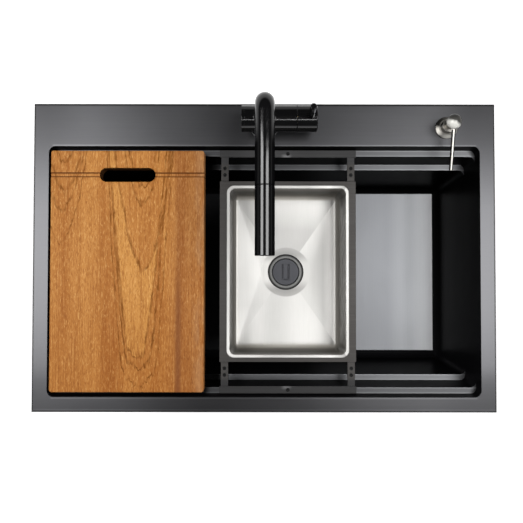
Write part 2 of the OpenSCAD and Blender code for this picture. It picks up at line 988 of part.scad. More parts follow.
module pump_collar() {
    r_tube = pump_collar_d / 2;
    color("silver")
        at_pump()
            rotate_extrude()
                polygon([
                    [r_tube - 2, pump_lip_z],
                    [r_tube + pump_rim, pump_lip_z],
                    [r_tube + pump_rim, deck_t],
                    [r_tube, deck_t],
                    [r_tube, pump_collar_z],
                    [r_tube - 2, pump_collar_z]
                ]);
}

module pump_flange() {
    r_base = pump_collar_d / 2 + pump_base_rim;
    r_neck = sleeve_d / 2 + 4;
    r_bore = sleeve_d / 2 + run_gap;
    r_lip = pump_collar_d / 2 + pump_rim + 0.1;
    color("silver")
        at_pump()
            rotate_extrude()
                polygon([
                    [r_base, deck_t],
                    [r_base, deck_t + 3],
                    [r_neck + 2, deck_t + 6],
                    [r_neck, deck_t + 8],
                    [r_neck, neck_top_z - 0.6],
                    [r_neck - 0.6, neck_top_z],
                    [r_bore, neck_top_z],
                    [r_bore, pump_lip_z + 2],
                    [r_lip, pump_lip_z + 2],
                    [r_lip, deck_t]
                ]);
}

module pump_nut() {
    color("white")
        at_pump()
            difference() {
                union() {
                    disc(pump_collar_d + 12, -pump_nut_h, 0);
                    for (turn = [0:90:270])
                        rotate([0, 0, turn])
                            translate([pump_collar_d / 2 + 4, -1.5, -pump_nut_h])
                                cube([4, 3, pump_nut_h]);
                }
                disc(pump_collar_d + 2 * thread_gap, -pump_nut_h - over, over);
            }
}

// The barrel hangs by its lip on the collar, and its narrow foot takes the dip tube
module pump_cylinder() {
    r_barrel = pump_barrel_d / 2;
    r_stem = pump_stem_d / 2 + run_gap;
    color("white")
        at_pump()
            rotate_extrude()
                polygon([
                    [r_stem, pump_lip_z + pump_lip_t],
                    [pump_collar_d / 2, pump_lip_z + pump_lip_t],
                    [pump_collar_d / 2, pump_lip_z],
                    [r_barrel, pump_lip_z],
                    [r_barrel, pump_foot_z],
                    [4, pump_foot_z],
                    [4, pump_foot_z - 6],
                    [2.5, pump_foot_z - 6],
                    [2.5, pump_foot_z + 1],
                    [r_barrel - pump_wall, pump_foot_z + 1],
                    [r_barrel - pump_wall, pump_lip_z - 2],
                    [r_stem, pump_lip_z - 2]
                ]);
}

// The return spring under the piston, as a plain sleeve of the spring's size when pressed
module pump_spring() {
    color("silver")
        at_pump()
            tube(pump_barrel_d - 5, pump_barrel_d - 8, pump_foot_z + 1, spring_top_z);
}

// The ring that keeps the head upright in the neck and turns with it
module pump_guide() {
    color("white")
        at_pump()
            tube(sleeve_d, pump_stem_d + 2 * run_gap, pump_lip_z + 2, pump_lip_z + 5);
}

module pump_stem() {
    color("white")
        at_pump()
            difference() {
                union() {
                    disc(pump_stem_d, piston_z, stem_top_z);
                    disc(pump_barrel_d - 2 * (pump_wall + run_gap), piston_z,
                        piston_z + piston_h);
                }
                disc(pump_stem_d - 3, piston_z - over, ball_z);
            }
}

module pump_head() {
    sleeve_z = neck_top_z - 2.5;
    color("silver")
        difference() {
            at_pump()
                union() {
                    translate([0, 0, ball_z])
                        sphere(d = ball_d);
                    disc(sleeve_d, sleeve_z, ball_z);
                }
            at_pump()
                disc(pump_stem_d, sleeve_z - over, stem_top_z);
            along_nozzle()
                disc(nozzle_d, nozzle_root, ball_d);
        }
}

module along_nozzle() {
    translate([pump_x, pump_y, ball_z])
        rotate([90 + nozzle_drop, 0, 0])
            children();
}

module pump_spout() {
    color("silver")
        along_nozzle()
            tube(nozzle_d, nozzle_d - 1.6, nozzle_root, nozzle_reach / cos(nozzle_drop));
}

module dip_tube() {
    color("white")
        at_pump()
            tube(4.9, 3, bottle_top_z - bottle_l + 6, pump_foot_z - 1);
}

module soap_bottle() {
    r_neck = pump_collar_d / 2 + thread_gap;
    r_body = bottle_d / 2;
    foot_z = bottle_top_z - bottle_l;
    shoulder_z = bottle_top_z - 22;
    color("white")
        at_pump()
            rotate_extrude()
                polygon([
                    [r_neck, bottle_top_z],
                    [r_neck + 2, bottle_top_z],
                    [r_neck + 2, shoulder_z + 4],
                    [r_body, shoulder_z - 6],
                    [r_body, foot_z + 3],
                    [r_body - 3, foot_z],
                    [0, foot_z],
                    [0, foot_z + bottle_wall],
                    [r_body - 3.5, foot_z + bottle_wall],
                    [r_body - bottle_wall, foot_z + 3.5],
                    [r_body - bottle_wall, shoulder_z - 6.5],
                    [r_neck, shoulder_z + 3.5]
                ]);
}

// ---- Sliding tray ----

// Four corners of the tray: the side and the end that each stands at
tray_corners = [for (sx = [-1, 1], sy = [-1, 1]) [sx, sy]];
screw_steps = [10, 21];

module at_tray_screws() {
    at_tray()
        for (corner = tray_corners, step_y = screw_steps)
            translate([corner[0] * arm_x, corner[1] * (ring_l / 2 + step_y), 0])
                children();
}

module tray_ring() {
    hole_r = basin_corner_r + basin_t + ring_gap;
    color("dimgray")
        difference() {
            at_tray()
                union() {
                    translate([0, 0, ring_z])
                        linear_extrude(bar_t)
                            difference() {
                                square([tray_w, ring_l], center = true);
                                round_rect(ring_hole_w, ring_hole_l, hole_r);
                            }
                    for (corner = tray_corners)
                        translate([corner[0] * arm_x - arm_w / 2,
                            corner[1] > 0 ? ring_l / 2 : -ring_l / 2 - tab_l, ring_z])
                            cube([arm_w, tab_l, bar_t]);
                }
            at_tray_screws()
                disc(screw_d, ring_z - over, ring_z + bar_t + over);
        }
}

// A hole for a countersunk screw, whose head lies a little below the top of the bar
module countersunk_hole(low_z) {
    disc(screw_d, low_z, head_z);
    translate([0, 0, head_z])
        cylinder(d1 = screw_d, d2 = 2 * screw_d, h = screw_d / 2);
    disc(2 * screw_d, tray_top_z - screw_sink, tray_top_z + over);
}

module countersunk_screw(tip_z) {
    difference() {
        union() {
            disc(screw_d, tip_z, head_z);
            translate([0, 0, head_z])
                cylinder(d1 = screw_d, d2 = 2 * screw_d, h = screw_d / 2);
        }
        translate([0, 0, tray_top_z - screw_sink - 1])
            cylinder(d = 2.3, h = 2, $fn = 6);
    }
}

module tray_arms() {
    color("dimgray")
        difference() {
            at_tray()
                for (corner = tray_corners)
                    translate([corner[0] * arm_x - arm_w / 2,
                        corner[1] > 0 ? ring_l / 2 : -end_bar_inner_y, tray_z])
                        cube([arm_w, arm_l, bar_t]);
            at_tray_screws()
                countersunk_hole(tray_z - over);
        }
}

module at_end_screws() {
    at_tray()
        for (side = [-1, 1])
            translate([0, side * (end_bar_y - end_bar_w / 2), 0])
                children();
}

module tray_end_bars() {
    color("dimgray")
        difference() {
            at_tray()
                for (side = [-1, 1])
                    translate([-tray_w / 2, side > 0 ? end_bar_inner_y : -end_bar_y, tray_z])
                        cube([tray_w, end_bar_w, bar_t]);
            at_end_screws()
                countersunk_hole(tray_z - over);
        }
}

module glide_strips() {
    strip_w = end_bar_w - 4;
    color("black")
        difference() {
            at_tray()
                for (side = [-1, 1])
                    translate([-tray_w / 2 + 2,
                        side > 0 ? end_bar_y - strip_w - 0.5 : -end_bar_y + 0.5, upper_z])
                        cube([tray_w - 4, strip_w, glide_t]);
            at_end_screws()
                disc(screw_d, upper_z - over, glide_z + over);
        }
}

module tray_screws() {
    color("gray") {
        at_tray_screws()
            countersunk_screw(ring_z);
        at_end_screws()
            countersunk_screw(upper_z + 0.2);
    }
}

// ---- Basin on the tray ----

module basin_pan(grow) {
    fall_x = basin_hx - basin_depth * tan(basin_slope);
    fall_y = basin_hy - basin_depth * tan(basin_slope);
    translate([tray_x, 0, 0])
        pan([basin_hx, basin_hy, glide_z + (grow > 0 ? 0 : rim_t + over)],
            [fall_x, fall_y, basin_floor_z], basin_corner_r, basin_foot_r, grow,
            [dish_d, floor_fall]);
}

module basin_shell() {
    color("silver")
        difference() {
            union() {
                at_tray()
                    translate([0, 0, glide_z])
                        linear_extrude(rim_t)
                            round_rect(basin_w, basin_l, basin_corner_r + basin_rim);
                basin_pan(basin_t);
                at_tray()
                    translate([0, 0, dish_z - basin_t])
                        cylinder(d1 = dish_d - 10, d2 = dish_d, h = dish_step + basin_t);
            }
            basin_pan(0);
            at_tray()
                translate([0, 0, dish_z])
                    cylinder(d1 = dish_d - 12, d2 = dish_d - 2, h = dish_step + slice);
            at_tray()
                disc(drain_hole_d, dish_z - basin_t - over, dish_z + over);
        }
}

module basin_drain() {
    r_ring = plug_ring_d / 2;
    r_seat = plug_d / 2 + lift_gap;
    r_wall = drain_hole_d / 2 - thread_gap;
    r_pipe = drain_pipe_d / 2;
    neck_z = drain_nut_z - drain_nut_h - 1;
    color("black")
        at_tray()
            rotate_extrude()
                polygon([
                    [r_seat, dish_z + 1.2],
                    [r_seat + 0.8, dish_z + 2],
                    [r_ring - 1.5, dish_z + 2],
                    [r_ring, dish_z + 0.8],
                    [r_ring, dish_z],
                    [r_wall, dish_z],
                    [r_wall, neck_z],
                    [r_pipe, neck_z - 3],
                    [r_pipe, drain_foot_z],
                    [r_pipe - 2, drain_foot_z],
                    [r_pipe - 2, plug_seat_z],
                    [r_seat, plug_seat_z]
                ]);
}

module basin_gasket() {
    color("black")
        at_tray()
            tube(plug_ring_d - 2, drain_hole_d + 0.5, drain_nut_z, dish_z - basin_t);
}

module basin_nut() {
    color("black")
        at_tray()
            difference() {
                union() {
                    disc(drain_hole_d + 8, drain_nut_z - drain_nut_h, drain_nut_z);
                    for (turn = [0:60:300])
                        rotate([0, 0, turn])
                            translate([drain_hole_d / 2 + 3, -3, drain_nut_z - drain_nut_h])
                                cube([4, 6, drain_nut_h]);
                }
                disc(drain_hole_d, drain_nut_z - drain_nut_h - over, drain_nut_z + over);
            }
}

// The plug, whose shallow pocket holds the folded pull
module plug_cap() {
    pocket_w = pull_w + 3;
    pocket_l = pull_l + 3;
    pocket_z = pull_z - wire_d / 2 - 0.2;
    color("dimgray")
        difference() {
            at_tray()
                union() {
                    disc(plug_d, plug_seat_z + lift_gap, plug_z + 1);
                    translate([0, 0, plug_z + 1])
                        cylinder(d1 = plug_d, d2 = plug_d - 2, h = 0.6);
                    disc(8, plug_seat_z - 10, plug_z);
                }
            translate([tray_x - pocket_w / 2, pull_pivot_y - pocket_l + 2, pocket_z])
                cube([pocket_w, pocket_l, 6]);
            translate([tray_x, pull_pivot_y, pull_z])
                rotate([0, 90, 0])
                    translate([0, 0, -pocket_w / 2 - 2])
                        cylinder(d = wire_d + 2 * run_gap, h = pocket_w + 4);
        }
}

// A folding wire pull: two legs, a round end, and two stubs that turn in the plug
module plug_pull() {
    leg_x = pull_w / 2 - wire_d / 2;
    leg_l = pull_l - pull_w / 2;
    stub_l = (pull_w + 3) / 2 + 1.5 - leg_x;
    color("gray")
        translate([tray_x, pull_pivot_y, pull_z]) {
            for (side = [-1, 1]) {
                translate([side * leg_x, 0, 0])
                    rotate([90, 0, 0])
                        cylinder(d = wire_d, h = leg_l);
                translate([side > 0 ? leg_x : -leg_x - stub_l, 0, 0])
                    rotate([0, 90, 0])
                        cylinder(d = wire_d, h = stub_l);
                translate([side * leg_x, 0, 0])
                    sphere(d = wire_d);
            }
            translate([0, -leg_l, 0])
                rotate([0, 0, 180])
                    rotate_extrude(angle = 180)
                        translate([leg_x, 0])
                            circle(d = wire_d);
        }
}

// ---- Chopping board ----

// A thin slot-shaped outline whose top is at height z
module slot_outline(d, z) {
    for (side = [-1, 1])
        translate([board_x + side * (slot_l - slot_w) / 2, slot_y, z - slice])
            cylinder(d = d, h = slice, $fn = hull_fn);
}

module finger_slot() {
    bevel_z = board_top_z - board_bevel;
    hull() {
        slot_outline(slot_w, upper_z - over);
        slot_outline(slot_w, bevel_z);
    }
    hull() {
        slot_outline(slot_w, bevel_z);
        slot_outline(slot_w + 2 * board_bevel, board_top_z + slice);
    }
}

// The board's outline drawn in by inset, with its top at height z
module board_outline(inset, z) {
    translate([board_x, 0, 0])
        outline([board_w / 2 - inset, board_l / 2 - inset], board_r - inset, z);
}

module cutting_board() {
    low_z = upper_z + board_bevel;
    high_z = board_top_z - board_bevel;
    color("peru")
        difference() {
            union() {
                hull() {
                    board_outline(board_bevel, upper_z + slice);
                    board_outline(0, low_z);
                }
                hull() {
                    board_outline(0, low_z);
                    board_outline(0, high_z);
                }
                hull() {
                    board_outline(0, high_z);
                    board_outline(board_bevel, board_top_z);
                }
            }
            finger_slot();
            translate([board_x - board_w / 2 - over, slot_y - groove_w / 2,
                board_top_z - groove_depth])
                cube([board_w + 2 * over, groove_w, groove_depth + over]);
        }
}

deck_plate();
bowl_shell();
sound_pads();
clip_studs();
clip_hooks();
clip_nuts();
drain_body();
drain_gasket();
drain_locknut();
tail_nut();
tailpiece();
basket_cup();
basket_post();
basket_seal();
tap_gasket();
tap_flange();
tap_body();
tap_end_cap();
cartridge();
cartridge_nut();
cartridge_stem();
handle_drum();
lever_pin();
grub_screw();
swivel_bush();
swivel_collar();
inlet_nipples();
tap_shank();
shank_seal();
shank_washer();
shank_nut();
spout_tube();
head_socket();
o_rings();
spray_head();
aerator();
pump_collar();
pump_flange();
pump_nut();
pump_cylinder();
pump_spring();
pump_guide();
pump_stem();
pump_head();
pump_spout();
dip_tube();
soap_bottle();
tray_ring();
tray_arms();
tray_end_bars();
glide_strips();
tray_screws();
basin_shell();
basin_drain();
basin_gasket();
basin_nut();
plug_cap();
plug_pull();
cutting_board();
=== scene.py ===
"""Looks for the workstation kitchen sink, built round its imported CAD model.

Lengths are in metres where nothing else is said.
"""
import json
import math

import bpy
from mathutils import Matrix, Vector


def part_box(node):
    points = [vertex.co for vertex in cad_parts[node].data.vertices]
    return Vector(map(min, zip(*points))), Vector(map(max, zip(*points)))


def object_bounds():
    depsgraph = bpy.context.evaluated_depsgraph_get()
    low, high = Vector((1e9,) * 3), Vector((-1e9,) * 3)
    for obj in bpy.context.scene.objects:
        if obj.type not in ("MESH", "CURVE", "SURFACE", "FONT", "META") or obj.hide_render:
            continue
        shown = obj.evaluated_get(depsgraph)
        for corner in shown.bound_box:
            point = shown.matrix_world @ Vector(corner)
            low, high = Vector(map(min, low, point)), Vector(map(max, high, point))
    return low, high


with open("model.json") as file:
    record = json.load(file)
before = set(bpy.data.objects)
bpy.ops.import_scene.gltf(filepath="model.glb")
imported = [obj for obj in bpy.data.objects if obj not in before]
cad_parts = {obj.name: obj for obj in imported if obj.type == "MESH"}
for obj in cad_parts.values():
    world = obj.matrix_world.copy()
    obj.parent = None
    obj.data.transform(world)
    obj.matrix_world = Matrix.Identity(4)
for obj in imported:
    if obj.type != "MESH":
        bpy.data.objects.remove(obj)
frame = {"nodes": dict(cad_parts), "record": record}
cad_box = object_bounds()
nodes = frame["nodes"]
scene = bpy.context.scene
scene.view_settings.view_transform = "Standard"


# ---- Places that several looks share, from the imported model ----

def middle_of(node):
    """The middle of a piece's box."""
    low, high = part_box(node)
    return (low + high) / 2


deck_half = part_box("deck_plate")[1]
bowl_middle = middle_of("bowl_shell")
waste_middle = middle_of("basin_drain")
board_middle = middle_of("cutting_board")


# ---- Camera: a view from above, fitted to the photograph's straight edges ----

def make_camera():
    """The camera looks down, with its tilt and roll as small turns away from straight down."""
    place = Vector((-0.00444, -0.03697, 1.10244))
    tilt = math.radians(1.568)
    roll = math.radians(0.0766)
    data = bpy.data.cameras.new("camera")
    data.sensor_width = 36
    data.lens = 46.71
    data.clip_start = 0.05
    data.clip_end = 30
    camera = bpy.data.objects.new("camera", data)
    scene.collection.objects.link(camera)
    turn = Matrix.Rotation(tilt, 4, "X") @ Matrix.Rotation(roll, 4, "Z")
    camera.matrix_world = Matrix.Translation(place) @ turn
    scene.camera = camera


# ---- Node helpers ----

class Graph:
    """A node tree, with helpers that add nodes to it and return their outputs."""

    def __init__(self, tree, space="Object"):
        self.tree = tree
        self.point = self.add("ShaderNodeTexCoord").outputs[space]

    def put(self, socket, value):
        """Links value to the socket where it is another node's output, and else sets it."""
        if isinstance(value, bpy.types.NodeSocket):
            self.tree.links.new(value, socket)
        else:
            socket.default_value = value

    def add(self, kind, inputs=None, **settings):
        """A new node with the given inputs, by name or number, and settings."""
        node = self.tree.nodes.new(kind)
        for key, value in settings.items():
            setattr(node, key, value)
        for key, value in (inputs or {}).items():
            self.put(node.inputs[key], value)
        return node

    def split(self, vector):
        """The x, y and z of a vector."""
        return self.add("ShaderNodeSeparateXYZ", {0: vector}).outputs

    def axes(self):
        """The x, y and z of the point, which for a CAD piece are those of the row frame."""
        return self.split(self.point)

    def facing(self):
        """The x, y and z of the surface's direction, before any edge is softened."""
        return self.split(self.add("ShaderNodeNewGeometry").outputs["Normal"])

    def math(self, operation, *values):
        """The result of one Math node."""
        return self.add("ShaderNodeMath", dict(enumerate(values)), operation=operation).outputs[0]

    def join(self, operation, first, *others):
        """All the values put together by one operation, from left to right."""
        for value in others:
            first = self.math(operation, first, value)
        return first

    def times(self, *values):
        return self.join("MULTIPLY", *values)

    def plus(self, *values):
        return self.join("ADD", *values)

    def invert(self, value):
        """1 where value is 0, and 0 where it is 1."""
        return self.math("SUBTRACT", 1.0, value)

    def off(self, value, middle=0.0):
        """How far value is from middle, on either side."""
        return self.math("ABSOLUTE", self.math("SUBTRACT", value, middle))

    def within(self, half, value, middle=0.0):
        """How far value is inside a strip that reaches half to each side of middle."""
        return self.math("SUBTRACT", half, self.off(value, middle))

    def fit(self, value, a, b, c=0.0, d=1.0, smooth=False):
        """value moved from the range a..b to c..d, and kept in it."""
        ends = {"From Min": a, "From Max": b, "To Min": c, "To Max": d}
        how = "SMOOTHSTEP" if smooth else "LINEAR"
        node = self.add("ShaderNodeMapRange", {"Value": value, **ends}, clamp=True, interpolation_type=how)
        return node.outputs[0]

    # A Mix node's sockets go by number, because its numbers and its colours share their names

    def blend(self, amount, a, b):
        """The number a where amount is 0, and b where it is 1."""
        inputs = {0: amount, 2: a, 3: b}
        return self.add("ShaderNodeMix", inputs, data_type="FLOAT", clamp_factor=True).outputs[0]

    def mix(self, amount, a, b, how="MIX"):
        """The colour a where amount is 0, and b, or a changed by b, where it is 1."""
        a, b = [(*color, 1) if isinstance(color, tuple) else color for color in (a, b)]
        inputs = {0: amount, 6: a, 7: b}
        node = self.add("ShaderNodeMix", inputs, data_type="RGBA", blend_type=how, clamp_factor=True)
        return node.outputs[2]

    def scaled(self, color, amount):
        """A colour made brighter or darker."""
        return self.add("ShaderNodeVectorMath", {0: color, "Scale": amount}, operation="SCALE").outputs[0]

    def noise(self, scale, detail=3.0, rough=0.5, distortion=0.0, move=(0, 0, 0)):
        """Noise from 0 to 1 about 0.5, with one scale for all axes or its own for each."""
        scale = scale if isinstance(scale, tuple) else (scale, scale, scale)
        place = self.add("ShaderNodeMapping", {"Vector": self.point, "Scale": scale, "Location": move})
        inputs = {"Vector": place.outputs[0], "Scale": 1.0, "Detail": detail, "Roughness": rough}
        return self.add("ShaderNodeTexNoise", {**inputs, "Distortion": distortion}).outputs["Fac"]

    def soft(self, noise, low, high):
        """Noise brought to low..high; most of it lies between 0.3 and 0.7."""
        return self.fit(noise, 0.3, 0.7, low, high)

    def sharp(self, noise, low=0.0, high=1.0):
        """Noise brought to low..high with more contrast than soft gives."""
        return self.fit(noise, 0.35, 0.65, low, high)

    def outline(self, a, b, c, d):
        """From c where the surface faces the eye to d where it turns away."""
        turned = self.add("ShaderNodeLayerWeight", {"Blend": 0.5}).outputs["Facing"]
        return self.fit(turned, a, b, c, d, smooth=True)

    def rounded(self, radius):
        """The surface's direction, with its edges rounded over the radius."""
        return self.add("ShaderNodeBevel", {"Radius": radius}, samples=6).outputs[0]


class Mat(Graph):
    """A material under construction, round one Principled shader."""

    def __init__(self, name, color=(0.5, 0.5, 0.5), metallic=0.0, **sockets):
        self.material = bpy.data.materials.new(name)
        self.material.use_nodes = True
        super().__init__(self.material.node_tree)
        self.shader = self.tree.nodes["Principled BSDF"]
        self.set("Base Color", (*color, 1))
        self.set("Metallic", metallic)
        for key, value in sockets.items():
            self.set(key.replace("_", " "), value)

    def set(self, key, value):
        """Links or sets one of the shader's inputs."""
        self.put(self.shader.inputs[key], value)

    def bump(self, height, distance, strength, edge=0.0, normal=None):
        """Bump that is distance high where height is 1, and edges that catch light over the radius edge."""
        inputs = {"Height": height, "Distance": distance, "Strength": strength}
        if edge:
            normal = self.rounded(edge)
        if normal is not None:
            inputs["Normal"] = normal
        self.set("Normal", self.add("ShaderNodeBump", inputs).outputs[0])


# ---- Sink: the deck, the ledges and the bowl ----

def near_front(m, y):
    """1 along the front of the deck and of the ledges, and 0 behind it."""
    return m.fit(y, -0.17, -0.21, smooth=True)


def deck_color(m, x, y):
    """Grey with painted reflection and shade: darker at the front, most of all in line with the tap, and in
    the back corners, paler along the back edge away from the tap, and with painted highlights along its
    edges.
    """
    front = near_front(m, y)
    rear = m.fit(y, 0.08, 0.235)
    left = m.fit(x, -0.27, -0.36, smooth=True)
    right = m.fit(x, 0.26, 0.34, smooth=True)
    by_tap = m.fit(m.off(x, -0.04), 0.05, 0.20, 1, 0, smooth=True)
    beside_tap = m.fit(m.off(x, -0.02), 0.05, 0.12, smooth=True)
    back_edge = m.fit(y, 0.18, 0.25, smooth=True)
    # Painted reflection and shade: each area darkens the deck where its masks meet, by its amount, and the
    # last, being negative, brightens it
    painted_light_areas = (
        (0.20, front),
        (0.26, front, by_tap),
        (0.34, left, rear),
        (0.42, right, rear),
        (0.14, right, front),
        (-0.26, beside_tap, back_edge),
    )
    tone = m.times(*[m.invert(m.times(*painted_light_area)) for painted_light_area in painted_light_areas])

    # Painted highlights along the opening's back and front edges between its corners, and along the deck's
    # front
    back_lip_y, front_lip_y, front_line_y = 0.1821, -0.2276, -0.2460
    back_lip = m.fit(m.off(y, back_lip_y), 0.0006, 0.0014, 1.85, 1.0)
    front_lip = m.fit(m.off(y, front_lip_y), 0.0007, 0.0015, 1.55, 1.0)
    front_line = m.fit(m.off(y, front_line_y), 0.0006, 0.0015, 1.28, 1.0)
    past_corner = m.fit(m.off(x), 0.343, 0.346)
    lip_highlights = m.blend(past_corner, m.times(back_lip, front_lip), 1.0)
    return m.scaled((0.064, 0.064, 0.067), m.times(tone, lip_highlights, front_line))


def ledge_color(m, x, y, z):
    """Grey painted paler than the deck as painted reflection, with a painted highlight along both edges, and
    painted shade at their outer edges where the wall rises, on the upper ledges at the front, and by the
    board and the tray.
    """
    upper_middle, lower_middle, edge_line = 0.1955, 0.18095, 0.0042
    lower = m.fit(z, -0.030, -0.060)
    from_middle = m.off(y, bowl_middle.y)
    off_middle = m.off(from_middle, m.blend(lower, upper_middle, lower_middle))
    # A painted highlight along both edges of each ledge
    line = m.fit(m.off(off_middle, edge_line), 0.0004, 0.0014, 1.6, 0.97)

    # Painted shade on the upper ledges at the front, and along the outer edges of both ledges where the wall
    # rises
    upper_front = m.times(near_front(m, y), m.invert(lower))
    front = m.blend(upper_front, 0.95, 0.70)
    upper_root_shade = m.fit(from_middle, 0.2000, 0.2006, 1, 0.35)
    lower_root_shade = m.fit(from_middle, 0.1852, 0.1860, 1, 0.12)
    root_shade = m.blend(lower, upper_root_shade, lower_root_shade)

    # Painted shade by the board: on the upper ledge at the front, and on the lower ledges at the front and
    # the back
    in_front = m.fit(y, -0.05, 0.05, 1, 0)
    upper_shade = m.blend(in_front, 1.0, m.fit(x, -0.097, -0.088, 0.10, 1))
    lower_shade = m.blend(in_front, m.fit(x, -0.091, -0.078, 0.06, 1), m.fit(x, -0.078, -0.068, 0.06, 1))
    by_board = m.blend(lower, upper_shade, lower_shade)
    return m.scaled((0.078, 0.079, 0.082), m.times(line, front, by_board, root_shade))


def bowl_floor(m, x):
    """Satin grey, with painted shadow that makes it near black towards the board, and painted light that
    makes it paler in two steps towards the right end.
    """
    left, middle, right = (0.150, 0.154, 0.162), (0.208, 0.213, 0.221), (0.49, 0.497, 0.51)
    # Painted light: paler in two steps towards the right end
    color = m.mix(m.fit(x, 0.235, 0.275, smooth=True), left, middle)
    color = m.mix(m.fit(x, 0.277, 0.331, smooth=True), color, right)
    # Painted shadow: near black towards the board
    return m.scaled(color, m.fit(x, -0.085, 0.05, 0.10, 1.0, smooth=True))


def black_steel():
    """Coated steel: a brushed deck, ledges painted paler as painted reflection, walls painted near black as
    painted shade, a satin floor and a dull outside.
    """
    m = Mat("black_steel", metallic=1.0)
    x, y, z = m.axes()
    nx, ny, nz = m.facing()
    deep = m.fit(z, -0.205, -0.214)
    brushed_across = m.noise((8, 800, 800), detail=4, rough=0.7)
    brushed_along = m.noise((800, 8, 800), detail=4, rough=0.7)
    grain = m.blend(deep, brushed_across, brushed_along)
    tone = m.sharp(m.blend(0.5, grain, m.noise(6, rough=0.6)), 0.93, 1.07)

    # What lies flat is the deck, a ledge or, where it is deep, the floor; the rest is wall
    floor_half_x, floor_half_y, floor_y = 0.3271, 0.1515, -0.0205
    inside = m.math("MINIMUM", m.within(floor_half_x, x), m.within(floor_half_y, y, floor_y))
    on_floor = m.fit(inside, -0.0006, 0.0006)
    flat = m.times(m.fit(nz, 0.80, 0.985, smooth=True), m.math("MAXIMUM", on_floor, m.invert(deep)))
    # Painted shade: what is not flat, and the floor outside its flat middle, is near black, darker towards
    # the back
    wall = m.mix(m.fit(y, 0.10, -0.16), (0.0015, 0.0015, 0.0015), (0.0042, 0.0042, 0.0048))
    color = m.mix(m.fit(z, -0.004, 0.0, 1, 0), deck_color(m, x, y), ledge_color(m, x, y, z))
    color = m.mix(flat, wall, m.mix(deep, color, bowl_floor(m, x)))

    # Painted shade along the deck's outer edge, which is wider at the back
    inset_y = m.times(m.within(deck_half.y, y), m.fit(y, -0.05, 0.05, 1.0, 0.7))
    rim = m.fit(m.math("MINIMUM", m.within(deck_half.x, x), inset_y), 0.0014, 0.0028, 1, 0)
    color = m.mix(rim, color, (0.018, 0.018, 0.018))

    # The outside has a dull, slightly rough undercoat
    outward = m.plus(m.times(nx, x), m.times(ny, m.math("SUBTRACT", y, bowl_middle.y)))
    turned_out = m.math("MAXIMUM", m.fit(outward, 0.02, 0.05), m.fit(nz, -0.3, -0.6))
    outside = m.times(turned_out, m.fit(z, -0.002, -0.001, 1, 0))
    stipple = m.noise(420, detail=2)
    coat = m.mix(m.sharp(stipple), (0.026, 0.026, 0.028), (0.046, 0.046, 0.048))

    m.set("Base Color", m.mix(outside, m.scaled(color, tone), coat))
    m.set("Metallic", flat)
    m.set("Specular IOR Level", m.blend(outside, 0.008, 0.25))
    m.set("Roughness", m.blend(outside, m.times(m.blend(deep, 0.33, 0.46), tone), 0.62))
    m.bump(m.blend(outside, grain, m.times(stipple, 12.0)), 0.000006, 0.5)
    return m


# ---- Tray and basin ----

def tray_steel():
    """Dark brushed steel, cooler on the end bars, with painted shade on the end bars, most at the front, and
    towards the right end, and a painted highlight in the middle of each end bar.
    """
    m = Mat("tray_steel", metallic=0.9)
    x, y, _ = m.axes()
    lines = m.noise((9, 700, 700), detail=4, rough=0.7)
    tone = m.blend(0.6, m.noise(7, rough=0.6), lines)
    color = m.mix(m.sharp(tone), (0.042, 0.0393, 0.0372), (0.055, 0.0522, 0.050))

    from_middle = m.off(y, bowl_middle.y)
    bars = m.fit(from_middle, 0.174, 0.180)
    bar_color = m.mix(1.0, color, (0.97, 1.02, 1.08), "MULTIPLY")
    # Painted shade: the end bars darker, most at the front, and the tray darker towards its right end
    color = m.mix(bars, color, m.scaled(bar_color, m.fit(y, -0.05, 0.05, 0.70, 0.86)))
    color = m.scaled(color, m.fit(x, 0.10, 0.135, 0.95, 0.86))

    # A painted highlight in the middle of each end bar, by its inner edge
    highlight_x = 0.0365
    near_highlight = m.fit(m.off(x, highlight_x), 0.002, 0.0105, 1, 0, smooth=True)
    inner_half = m.fit(from_middle, 0.1905, 0.1945, 1, 0)
    painted_light_area = m.times(near_highlight, inner_half, bars)
    m.set("Base Color", m.scaled(color, m.math("MULTIPLY_ADD", painted_light_area, 2.2, 1.0)))
    m.set("Roughness", m.soft(tone, 0.50, 0.42))
    m.bump(lines, 0.00001, 0.6, edge=0.0008)
    return m


def from_waste(m, x, y):
    """How far a point is from the middle of the basin's waste: along x, along y, and straight."""
    dx = m.math("SUBTRACT", x, waste_middle.x)
    dy = m.math("SUBTRACT", y, waste_middle.y)
    return dx, dy, m.math("SQRT", m.plus(m.times(dx, dx), m.times(dy, dy)))


def basin_planes(m, dx, dy, far, dish):
    """Painted light and shade for the basin's four planes, which fall to the waste, each given the tone of
    how it is lit, and for the dish round it.
    """
    diagonal = 1.44    # the planes meet where dy is this many times dx
    to_side = m.math("SUBTRACT", m.times(m.off(dx), diagonal), m.off(dy))
    left = m.fit(dy, -0.06, -0.11, 0.455, 0.58)
    right = m.times(m.fit(dx, 0.067, 0.088, 0.425, 0.84), m.fit(dy, 0.02, 0.09, 1.0, 1.22))
    back = m.plus(m.fit(dy, 0.075, 0.125, 0.34, 0.46), m.fit(dx, 0.035, 0.065, 0.0, 0.08, smooth=True))
    front = m.plus(
        m.fit(dx, -0.02, -0.065, 0.41, 0.56, smooth=True),
        m.fit(dx, -0.012, 0.02, 0.0, 0.045, smooth=True),
        m.fit(dx, 0.03, 0.065, 0.0, 0.04, smooth=True),
    )
    ends = m.blend(m.fit(dy, -0.01, 0.01), front, back)
    sides = m.blend(m.fit(dx, -0.01, 0.01), left, right)
    plane = m.blend(m.fit(to_side, -0.001, 0.001), ends, sides)

    # Painted light across the dish, and painted shade at its front and back
    lit_dish = m.times(plane, m.fit(dx, -0.01, 0.01, 1.22, 1.08))
    shaded = m.times(dish, m.fit(m.off(dy), 0.012, 0.034, smooth=True))
    plane = m.blend(dish, plane, lit_dish)
    return m.blend(shaded, plane, m.fit(far, 0.032, 0.0445, 0.24, 0.31))


